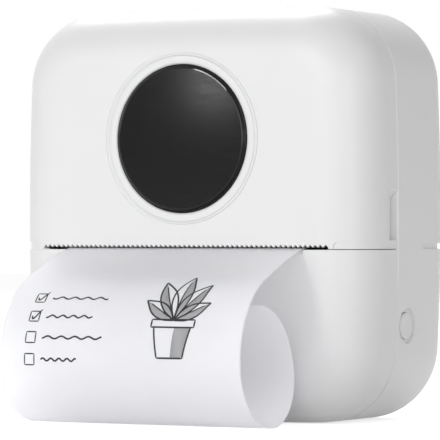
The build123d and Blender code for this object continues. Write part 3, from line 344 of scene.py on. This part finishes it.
# places as (distance from the axis, height over the cover's front); the facet as (width, tilt in degrees)
disc = {"centre": ((discLow.x + discHigh.x) / 2, (discLow.z + discHigh.z) / 2),
        "plate": boxOf("cover_shell")[0].y, "radius": (discHigh.x - discLow.x) / 2,
        "proud": 1.08, "crownBall": 308.0, "faceRadius": 14.76,
        "facet": (0.28, 15.0), "step": (15.36, 0.34), "ledge": (15.6, 0.26), "wall": 0.14, "back": -1.0,
        "bevel": 0.03, "sharp": 8, "segments": 192}
surround = {"lip": [(15.8, 0.0), (15.86, 0.11), (15.96, 0.19), (16.12, 0.25), (16.35, 0.29), (16.65, 0.31),
                    (17.0, 0.3), (17.3, 0.27), (17.56, 0.23)],
            "bead": [(17.6, 0.195), (17.75, 0.15), (17.95, 0.08), (18.08, 0.02)], "foot": -0.05}


def turnProfile(name, profile, material, body, closed):
    # turns an outline about the disc's axis
    form = bmesh.new()
    count = disc["segments"]
    x0, z0 = disc["centre"]
    rings = []
    for radius, height in profile:
        y = disc["plate"] - height
        if radius == 0:
            rings.append([form.verts.new(Vector((x0, y, z0)) * mm)] * count)
            continue
        ring = []
        for i in range(count):
            turn = math.tau * i / count
            spot = Vector((x0 + radius * math.cos(turn), y, z0 + radius * math.sin(turn)))
            ring.append(form.verts.new(spot * mm))
        rings.append(ring)
    pairs = list(zip(rings, rings[1:])) + ([(rings[-1], rings[0])] if closed else [])
    for one, two in pairs:
        for i in range(count):
            j = (i + 1) % count
            corners = list(dict.fromkeys((one[i], one[j], two[j], two[i])))
            if len(corners) > 2:
                form.faces.new(corners)
    bmesh.ops.recalc_face_normals(form, faces=form.faces[:])
    return addPiece(name, form, material, body)


def makeDisc():
    # a crowned cap: the narrow facet turned round its face throws back the strip light as a thin white arc
    d = disc
    face = [(r, d["proud"] - r ** 2 / (2 * d["crownBall"])) for r in (0, 3, 6, 9, 12, 14, d["faceRadius"])]
    width, tilt = d["facet"]
    edge = (d["faceRadius"] + width, face[-1][1] - width * math.tan(math.radians(tilt)))
    rim = [edge, d["step"], d["ledge"], (d["radius"], d["wall"]), (d["radius"], d["back"]), (0, d["back"])]
    piece = turnProfile("DiscTurned", face + rim, finishes["disc_black"], "cover", False)
    bevel = piece.modifiers.new("edges", "BEVEL")
    bevel.width = d["bevel"] * mm
    bevel.segments = 2
    bevel.limit_method = "ANGLE"
    bevel.angle_limit = math.radians(d["sharp"])
    bevel.harden_normals = True
    piece.data.materials.append(polishedEdge)
    for polygon in piece.data.polygons:
        x, z = polygon.center.x / mm - d["centre"][0], polygon.center.z / mm - d["centre"][1]
        reach = math.hypot(x, z)
        polygon.material_index = int(d["faceRadius"] < reach < d["faceRadius"] + width)
    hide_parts("front_disc")


def makeSurround():
    # the rolled lip round the disc's seat, and the fine bead outside it
    for name, key in (("DiscLip", "lip"), ("DiscBead", "bead")):
        top = surround[key]
        under = [(top[-1][0], surround["foot"]), (top[0][0], surround["foot"])]
        turnProfile(name, top + under, finishes["shell_white"], "cover", True)


polishedEdge = makeBlackPolycarbonate("BlackPolycarbonateTurnedEdge", (0.07, 0.1), 0.22)
makeDisc()
makeSurround()

print("paper strip")


def halfHeight(name):
    # the radius of a round solid that lies along X
    low, high = boxOf(name)
    return (high.z - low.z) / 2


# sizes in mm, and an arc as (radius, turn in degrees); past the platen the path follows the photo's curl
strip = {
    "width": boxOf("paper_strip")[1].x * 2, "thickness": 0.08, "solidThickness": 0.2,
    "roll": axes["paper_roll_spin"], "rollRadius": halfHeight("paper_roll"),
    "platen": axes["platen_spin"], "platenRadius": halfHeight("platen_roller"), "gap": 0.05,
    "exit": (-20.6, 36.55), "exitAngle": 16.0, "nipY": -11.7, "pastExit": 2.0,
    "sag": (75.0, 7.0), "run": 5.6, "front": 18.4, "back": 9.3, "end": (16.0, 84.0),
    "step": 0.5, "toothPitch": 1.15, "toothDepth": 0.5,
}
# the slack as (depth, length of the slot)
# the swell as (height, start, length, turn for each mm of X, turn for each mm of distance)
waves = {"slack": (0.35, 6.4), "swell": (0.06, 4, 12, 0.06, 0.09)}


def paperSteps():
    # the path's runs and arcs, as (length, turn in degrees), with its start and first heading
    s = strip
    half = s["solidThickness"] / 2
    wrapRadius, rollReach = s["platenRadius"] + s["gap"] + half, s["rollRadius"] + s["gap"] + half
    dy, dz = s["platen"][0] - s["roll"][0], s["platen"][1] - s["roll"][1]
    span = math.hypot(dy, dz)
    lean = math.degrees(math.atan2(dz, dy)) - math.degrees(math.acos((rollReach + wrapRadius) / span))
    start = [s["roll"][0] + rollReach * math.cos(math.radians(lean)),
             s["roll"][1] + rollReach * math.sin(math.radians(lean))]
    heading = lean + 90
    wrap = 180 + s["exitAngle"] - heading % 360
    rise = math.tan(math.radians(s["exitAngle"]))
    slot = math.hypot(s["nipY"] - s["exit"][0], (s["nipY"] - s["exit"][0]) * rise)
    steps = [(math.sqrt(span ** 2 - (rollReach + wrapRadius) ** 2), 0), (wrapRadius, wrap),
             (slot + s["pastExit"], 0),
             s["sag"], (s["run"], 0), (s["front"], 90 - s["exitAngle"] - s["sag"][1]), (None, 90),
             (s["back"], 90), s["end"]]
    return start, heading, steps


def walkPaper():
    # samples along the paper's middle: distance, Y, Z and heading
    (y, z), heading, steps = paperSteps()
    slotStep = 2
    samples, distance, exitDistance = [(0.0, y, z, heading)], 0.0, 0.0
    for index, (size, turn) in enumerate(steps):
        radius = z - strip["solidThickness"] / 2 if size is None else size
        length = radius * math.radians(abs(turn)) if turn else size
        count = max(2, math.ceil(length / strip["step"]))
        for i in range(count):
            bend = turn / count
            heading += bend / 2
            y += length / count * math.cos(math.radians(heading))
            z += length / count * math.sin(math.radians(heading))
            heading += bend / 2
            samples.append((distance + length * (i + 1) / count, y, z, heading))
        distance += length
        if index == slotStep:
            exitDistance = distance - strip["pastExit"]
    return samples, exitDistance


paperWalk, paperExit = walkPaper()


def paperPoint(x, distance, lift):
    # a point over the paper's outer face, from its place on the flat sheet
    distance = min(max(distance, 0.0), paperWalk[-1][0])
    low = 0
    high = len(paperWalk) - 1
    while high - low > 1:
        middle = (low + high) // 2
        if paperWalk[middle][0] <= distance:
            low = middle
        else:
            high = middle
    one, two = paperWalk[low], paperWalk[high]
    share = (distance - one[0]) / (two[0] - one[0])
    y, z, heading = (one[i] + (two[i] - one[i]) * share for i in (1, 2, 3))
    turn = math.radians(heading)
    return Vector((x, y + math.sin(turn) * lift, z - math.cos(turn) * lift)) * mm


def waveOf(x, distance):
    # real paper isn't quite flat: it is slack between the head and the tear edge, and swells a little past it
    slack, slot = waves["slack"]
    swell, start, length, turnX, turnAlong = waves["swell"]
    inside = min(max((paperExit - distance) / slot, 0), 1)
    past = min(max((distance - paperExit - start) / length, 0), 1)
    ripple = 0.5 + 0.5 * math.sin(x * turnX + distance * turnAlong)
    return -slack * math.sin(math.pi * inside) - swell * past * ripple


def makeStrip():
    # the visible sheet, from the roll to its torn end
    form = bmesh.new()
    half = strip["width"] / 2
    columns = 2 * round(strip["width"] / strip["toothPitch"])
    distances = [sample[0] for sample in paperWalk]
    rows = []
    for distance in distances:
        row = []
        for column in range(columns + 1):
            x = -half + strip["width"] * column / columns
            along = distance
            if distance == distances[-1] and column % 2:
                along -= strip["toothDepth"]  # the free end was torn on the comb
            row.append(form.verts.new(paperPoint(x, along, waveOf(x, along))))
        rows.append(row)
    for upper, lower in zip(rows, rows[1:]):
        for column in range(columns):
            form.faces.new((upper[column], upper[column + 1], lower[column + 1], lower[column]))
    piece = addPiece("PaperSheet", form, finishes["paper_white"], "base")
    solid = piece.modifiers.new("thickness", "SOLIDIFY")
    solid.thickness = strip["thickness"] * mm
    solid.offset = 0
    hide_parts("paper_strip")


makeStrip()

print("printed motif")

# a potted plant on the right and a short list on the left; lengths in mm from the tear edge
motif = {
    "line": 0.36, "thin": 0.26, "toneLift": 0.052, "lineLift": 0.058, "inkDepth": 0.006,
    # leaves as (angle, length, width), their ribs as shares of the length; pot as (wide, narrow, height)
    "plantX": 12.0, "potTop": 31.2, "pot": (8.6, 6.0, 6.4), "rim": (10.0, 1.7), "leafRoot": 0.2,
    "leaves": [(-58, 9.0, 3.4), (-27, 11.6, 3.8), (2, 12.6, 4.0), (31, 11.2, 3.8), (60, 8.6, 3.3)],
    "rib": (0.16, 0.84), "tone": (0.95, 0.7, 0.45, 0.2),
    "listX": -22.5, "listTop": 23.4, "rowGap": 4.6, "box": 2.3, "rows": [13.5, 11.2, 14.4, 8.6],
    "ticked": 2, "tick": [(0.5, 1.1), (1.0, 1.7), (2.6, -0.5)],
    "waveGap": 1.6, "waveHeight": 0.28, "waveTurn": 1.15, "waveParts": 24,
}


def curvePoints(points, count=14):
    # a smooth line through a few points
    spots = [Vector(p) for p in points]
    padded = [spots[0] * 2 - spots[1], *spots, spots[-1] * 2 - spots[-2]]
    line = []
    for a, b, c, d in zip(padded, padded[1:], padded[2:], padded[3:]):
        for i in range(count):
            t = i / count
            line.append(0.5 * (2 * b + (c - a) * t + (2 * a - 5 * b + 4 * c - d) * t * t
                               + (3 * b - a - 3 * c + d) * t ** 3))
    return [*line, spots[-1]]


def straight(a, b, step=0.5):
    # points along a straight line, one step apart
    a, b = Vector(a), Vector(b)
    count = max(1, math.ceil((b - a).length / step))
    return [a.lerp(b, i / count) for i in range(count + 1)]


def addStroke(form, line, width):
    # a ribbon with round ends along a line on the flat sheet
    cuts = []
    for i, spot in enumerate(line):
        ahead = line[min(i + 1, len(line) - 1)] - line[max(i - 1, 0)]
        side = Vector((-ahead.y, ahead.x)).normalized() * width / 2
        taper = 0.55 if i in (0, len(line) - 1) else 1.0
        cuts.append([form.verts.new((*(spot + side * taper * s), 0)) for s in (-1, 1)])
    for a, b in zip(cuts, cuts[1:]):
        form.faces.new((a[0], a[1], b[1], b[0]))


def addTone(form, outline):
    # a flat area inside an outline
    face = form.faces.new([form.verts.new((p.x, p.y, 0)) for p in outline])
    bmesh.ops.triangulate(form, faces=[face])


def layOnPaper(form, lift):
    # cuts a flat form into rows and bends them onto the paper
    rowStep = 0.5
    low, high = (f(v.co.y for v in form.verts) for f in (min, max))
    y = low + rowStep
    while y < high:
        bmesh.ops.bisect_plane(form, geom=form.verts[:] + form.edges[:] + form.faces[:], dist=1e-5,
                               plane_co=(0, y, 0), plane_no=(0, 1, 0))
        y += rowStep
    for vert in form.verts:
        distance = paperExit + vert.co.y
        vert.co = paperPoint(vert.co.x, distance, lift + waveOf(vert.co.x, distance))


def leafSides(base, angle, length, width):
    # the two edges of a pointed leaf, both from its base to its tip
    turn = math.radians(angle)
    along, across = Vector((math.sin(turn), -math.cos(turn))), Vector((math.cos(turn), math.sin(turn)))
    sides = []
    for side in (-1, 1):
        sides.append(curvePoints([base, base + along * length * 0.3 + across * side * width * 0.42,
                                  base + along * length * 0.62 + across * side * width * 0.46,
                                  base + along * length], 8))
    return sides


def makeMotif():
    m = motif
    lines, tones = bmesh.new(), bmesh.new()
    potTop = m["potTop"]
    base = Vector((m["plantX"], potTop - m["rim"][1] + m["leafRoot"]))
    for angle, length, width in m["leaves"]:
        left, right = leafSides(base, angle, length, width)
        for side in (left, right):
            addStroke(lines, side, m["line"])
        low, high = m["rib"]
        addStroke(lines, straight(base.lerp(left[-1], low), base.lerp(left[-1], high)), m["thin"])
        shaded = left if angle < 0 else right
        inner = [base.lerp(shaded[-1], share) for share in m["tone"]]
        addTone(tones, [*shaded, *inner])
    wide, narrow, height = m["pot"]
    rimHalf, rimHeight = m["rim"][0] / 2, m["rim"][1]
    x = m["plantX"]
    rim = [(x - rimHalf, potTop - rimHeight), (x + rimHalf, potTop - rimHeight), (x + rimHalf, potTop),
           (x - rimHalf, potTop)]
    pot = [(x - wide / 2, potTop), (x - narrow / 2, potTop + height), (x + narrow / 2, potTop + height),
           (x + wide / 2, potTop)]
    for a, b in [*zip(rim, rim[1:] + rim[:1]), *zip(pot, pot[1:])]:
        addStroke(lines, straight(a, b), m["line"])
    top, low = potTop + 0.1, potTop + height - 0.2
    band = [(x + 0.5, top), (x + wide / 2 - 0.2, top), (x + narrow / 2 - 0.15, low), (x + 0.2, low)]
    addTone(tones, [Vector(p) for p in band])
    for i, length in enumerate(m["rows"]):
        top = m["listTop"] + i * m["rowGap"]
        left = m["listX"]
        right, low = left + m["box"], top + m["box"]
        box = [(left, top), (right, top), (right, low), (left, low)]
        for a, b in zip(box, box[1:] + box[:1]):
            addStroke(lines, straight(a, b), m["thin"])
        if i < m["ticked"]:
            tick = [(left + across, top + down) for across, down in m["tick"]]
            addStroke(lines, curvePoints(tick, 4), m["line"])
        start, middle, parts = right + m["waveGap"], (top + low) / 2, m["waveParts"]
        wave = []
        for k in range(parts + 1):
            swing = m["waveHeight"] * math.sin(k * m["waveTurn"] + i)
            wave.append(Vector((start + length * k / parts, middle + swing)))
        addStroke(lines, curvePoints(wave, 3), m["line"])
    for name, form, lift, material in (("PrintTones", tones, m["toneLift"], inkGrey),
                                       ("PrintLines", lines, m["lineLift"], inkDark)):
        layOnPaper(form, lift)
        piece = addPiece(name, form, material, "base")
        solid = piece.modifiers.new("inkDepth", "SOLIDIFY")
        solid.thickness = m["inkDepth"] * mm
        solid.offset = 0


makeMotif()

print("paper roll")

roll = {"centre": axes["paper_roll_spin"], "outer": 15.12, "inner": 6.25, "half": strip["width"] / 2,
        "layers": 34, "segments": 120, "stagger": 0.09, "sheetStep": 0.1, "endTurn": 200, "ledge": 0.05}


def makeRoll():
    # a wound roll: one step where the outer turn ends, and layers that stand unevenly at both ends
    # the real turns are 0.06 mm thick; drawn about 0.26 mm apart so that they show
    r = roll
    form = bmesh.new()
    draw = random.Random(5)
    out = [draw.uniform(0, r["stagger"]) for _ in range(r["layers"] + 1)]
    profile = []
    for side in (-1, 1):
        part = []
        for layer in range(r["layers"] + 1):
            radius = r["inner"] + (r["outer"] - r["inner"]) * layer / r["layers"]
            x = side * (r["half"] - out[layer])
            if 0 < layer:
                part.append((radius - r["ledge"], side * (r["half"] - out[layer - 1])))
            part.append((radius, x))
        profile += part if side < 0 else part[::-1]
    rings = []
    for segment in range(r["segments"] + 1):
        turn = segment / r["segments"]
        angle = math.radians(r["endTurn"]) + turn * math.tau
        ring = []
        for radius, x in profile:
            share = (radius - r["inner"]) / (r["outer"] - r["inner"])
            wound = radius - r["sheetStep"] * share * turn
            ring.append(form.verts.new(Vector((x, r["centre"][0] + wound * math.cos(angle),
                                               r["centre"][1] + wound * math.sin(angle))) * mm))
        rings.append(ring)
    for one, two in zip(rings, rings[1:]):
        for i in range(len(profile)):
            j = (i + 1) % len(profile)
            form.faces.new((one[i], two[i], two[j], one[j]))
    first, last = rings[0], rings[-1]
    for i in range(len(profile)):
        j = (i + 1) % len(profile)
        if (first[i].co - last[i].co).length + (first[j].co - last[j].co).length > 1e-7:
            form.faces.new((last[i], first[i], first[j], last[j]))
    bmesh.ops.remove_doubles(form, verts=form.verts[:], dist=1e-6)
    bmesh.ops.recalc_face_normals(form, faces=form.faces[:])
    piece = addPiece("PaperRollWound", form, finishes["paper_white"], "paper_supply", False)
    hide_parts("paper_roll")


makeRoll()

print("stage, lights and camera")

# fitted to the photo: place in metres, turn in radians, focal length in the photo's pixels
view = {"place": (0.36007, -0.64686, 0.03977), "turn": 0.50799, "focalPixels": 3428.61, "imagePixels": 440,
        "sensor": 36.0, "shift": (-0.02509, 0.03015)}
cameraData = bpy.data.cameras.new("PhotoCamera")
cameraData.lens = view["focalPixels"] / view["imagePixels"] * view["sensor"]
cameraData.sensor_width = view["sensor"]
cameraData.shift_x, cameraData.shift_y = view["shift"]
cameraData.clip_start = 0.01
camera = bpy.data.objects.new("PhotoCamera", cameraData)
camera.location = view["place"]
camera.rotation_euler = (math.pi / 2, 0, view["turn"])
bpy.context.scene.collection.objects.link(camera)
bpy.context.scene.camera = camera

# the floor's two whites, its radius in metres, and what it adds where it is seen
backdropWhite = {"floor": "#f4f4f4", "shade": "#f2f2f2", "radius": 2.6, "lift": 0.66}


def seenRays(tree):
    # 1 where the camera, a reflection or a refraction looks at the backdrop
    path = addNode(tree, "LightPath")
    glossy = addNode(tree, "Math", {"operation": "MAXIMUM"},
                     {0: path.outputs["Is Camera Ray"], 1: path.outputs["Is Glossy Ray"]})
    return addNode(tree, "Math", {"operation": "MAXIMUM"},
                   {0: glossy.outputs[0], 1: path.outputs["Is Transmission Ray"]}).outputs[0]


def makeFloor():
    # matt painted board, pale: it keeps the soft shadow
    material, tree, shader, place = startMaterial(
        "PaintedBoardRolled", {"Roughness": 0.9, "Specular IOR Level": 0.1})
    cloud = grainOf(tree, place, 60.0)
    tree.links.new(blendColours(tree, cloud, backdropWhite["floor"], backdropWhite["shade"]),
                   shader.inputs["Base Color"])
    shader.inputs["Emission Color"].default_value = (1, 1, 1, 1)
    glow = addNode(tree, "Math", {"operation": "MULTIPLY", 1: backdropWhite["lift"]}, {0: seenRays(tree)})
    tree.links.new(glow.outputs[0], shader.inputs["Emission Strength"])
    form = bmesh.new()
    bmesh.ops.create_circle(form, cap_ends=True, segments=96, radius=backdropWhite["radius"])
    mesh = bpy.data.meshes.new("Floor")
    form.to_mesh(mesh)
    form.free()
    mesh.materials.append(material)
    floor = bpy.data.objects.new("Floor", mesh)
    bpy.context.scene.collection.objects.link(floor)


makeFloor()

ambient = {"colour": "#ffffff", "level": 0.3}
world = bpy.data.worlds.new("Studio")
bpy.context.scene.world = world
world.use_nodes = True
world.node_tree.nodes.clear()
seen = seenRays(world.node_tree)
level = addNode(world.node_tree, "MapRange", {1: 0, 2: 1, 3: ambient["level"], 4: 1.0}, {0: seen})
background = addNode(world.node_tree, "Background", {"Color": toLinear(ambient["colour"])},
                     {"Strength": level.outputs[0]})
addNode(world.node_tree, "OutputWorld", links={"Surface": background.outputs[0]})

# each softbox's place and size in metres, power in watts and roll in degrees; all face one point
softboxAim = Vector((0, 0, 0.045))
softboxes = {
    "KeySoftbox": {"at": (0.18, -1.155, 0.25), "size": (1.02, 0.47), "power": 3.3},
    "GlowSoftbox": {"at": (-0.523, -1.091, 0.215), "size": (0.1, 0.1), "power": 0.58},
    "RimStrip": {"at": (-0.325, -1.1, 0.605), "size": (0.4, 0.06), "power": 2.3, "roll": -28},
    "SideFill": {"at": (0.9, -0.75, 0.12), "size": (0.3, 0.3), "power": 1.6},
    "LeftFill": {"at": (-1.0, -0.45, 0.28), "size": (0.3, 0.3), "power": 0.45},
    "TopSoftbox": {"at": (-0.42, 0.50, 0.86), "size": (0.5, 0.4), "power": 5.5},
}
for name, box in softboxes.items():
    lamp = bpy.data.lights.new(name, "AREA")
    lamp.shape = "RECTANGLE"
    lamp.size, lamp.size_y = box["size"]
    lamp.energy = box["power"]
    softbox = bpy.data.objects.new(name, lamp)
    softbox.location = box["at"]
    aim = (softboxAim - Vector(box["at"])).to_track_quat("-Z", "Y")
    softbox.rotation_euler = (aim @ Quaternion((0, 0, 1), math.radians(box.get("roll", 0)))).to_euler()
    bpy.context.scene.collection.objects.link(softbox)

bpy.context.scene.view_settings.view_transform = "Standard"

print("done")
